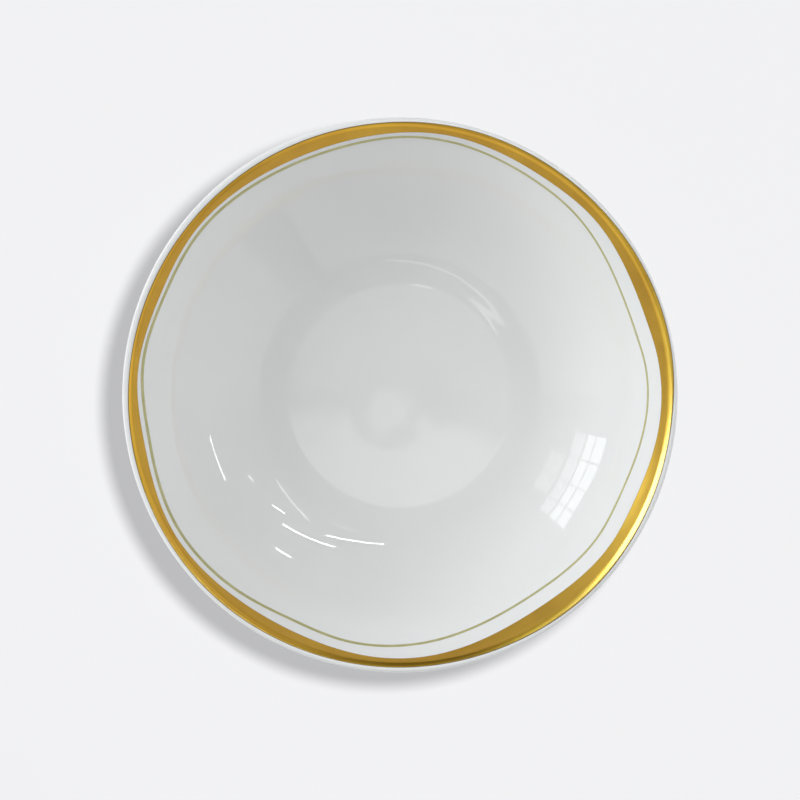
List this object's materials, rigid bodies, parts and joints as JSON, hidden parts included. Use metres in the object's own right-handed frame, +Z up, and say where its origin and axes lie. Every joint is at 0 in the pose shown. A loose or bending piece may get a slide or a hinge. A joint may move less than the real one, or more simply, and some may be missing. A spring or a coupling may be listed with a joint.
{
  "type": "porcelain serving bowl",
  "caption": "Wide round serving bowl with sloping walls on a turned foot ring, glazed white, with a freehand gold band inside the lip and a fine painted line below it.",
  "frame": {"origin": "centre of the foot ring on the surface the bowl stands on", "axes": "+Z up along the axis the bowl was turned on; +X and +Y are free, apart from the freehand edges of the gold and the line"},
  "size_m": [0.27, 0.27, 0.0722],
  "materials": {
    "biscuit_porcelain": "bare fired porcelain, fine matt grain",
    "clear_glaze": "clear glaze over white porcelain, high gloss, faintly uneven",
    "burnished_gold": "fired gold, burnished, brushed on by hand",
    "olive_enamel": "thin olive-gold overglaze enamel, satin"
  },
  "bodies": {
    "root": {"porcelain_body": "biscuit_porcelain", "glaze_coat": "clear_glaze", "foot_well_glaze": "clear_glaze", "gold_band": "burnished_gold", "fine_line": "olive_enamel"}
  },
  "joints": []
}
